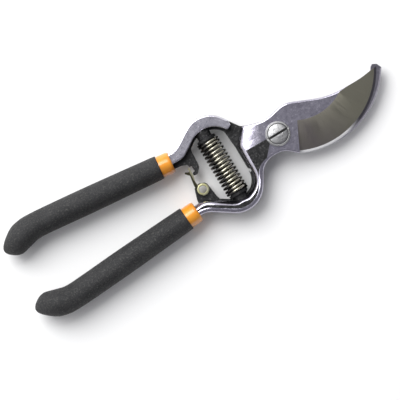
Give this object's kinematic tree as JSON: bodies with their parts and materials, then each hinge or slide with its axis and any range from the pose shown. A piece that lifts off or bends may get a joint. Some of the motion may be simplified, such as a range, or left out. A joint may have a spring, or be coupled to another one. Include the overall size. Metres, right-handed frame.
{
  "type": "secateurs",
  "caption": "Forged bypass pruning shears: a curved blade passes a blunt hook on one bolt, with a coil return spring, a swinging catch and soft grips.",
  "frame": {"origin": "on the pivot axis, in the plane that the tool lies on", "axes": "+X along the closed tool from the pivot to the tip, +Y towards the hook lever's handle, +Z out of the face that shows the bolt head"},
  "size_m": [0.2139, 0.0559, 0.018],
  "materials": {
    "forged_steel": "chromed forging, polished faces",
    "bolt_steel": "bright chrome",
    "spring_steel": "oiled dark steel",
    "plated_steel": "yellow zinc plating",
    "orange_sleeve": "glossy dipped plastic",
    "black_grip": "fine-grained foam rubber"
  },
  "bodies": {
    "blade_side": {"blade_lever": "forged_steel", "pivot_bolt": "bolt_steel", "pivot_washer": "bolt_steel", "pivot_nut": "bolt_steel", "return_spring": "spring_steel", "catch_washer": "plated_steel", "catch_eyelet": "plated_steel", "lower_sleeve": "orange_sleeve", "lower_grip": "black_grip"},
    "hook_side": {"hook_lever": "forged_steel", "upper_sleeve": "orange_sleeve", "upper_grip": "black_grip"},
    "catch": {"catch_plate": "plated_steel"}
  },
  "joints": [
    {"name": "lever_pivot", "type": "hinge", "parent": "blade_side", "child": "hook_side", "pos_m": [0, 0, 0.009], "axis": [0, 0, -1], "range_deg": [0, 27], "stiffness_Nm_per_rad": 1.3, "springref_deg": 34.38, "deforming": ["return_spring"]},
    {"name": "catch_swing", "type": "hinge", "parent": "blade_side", "child": "catch", "pos_m": [-0.0468, -0.0045, 0.01], "axis": [0, 0, 1], "range_deg": [-6, 60]}
  ]
}
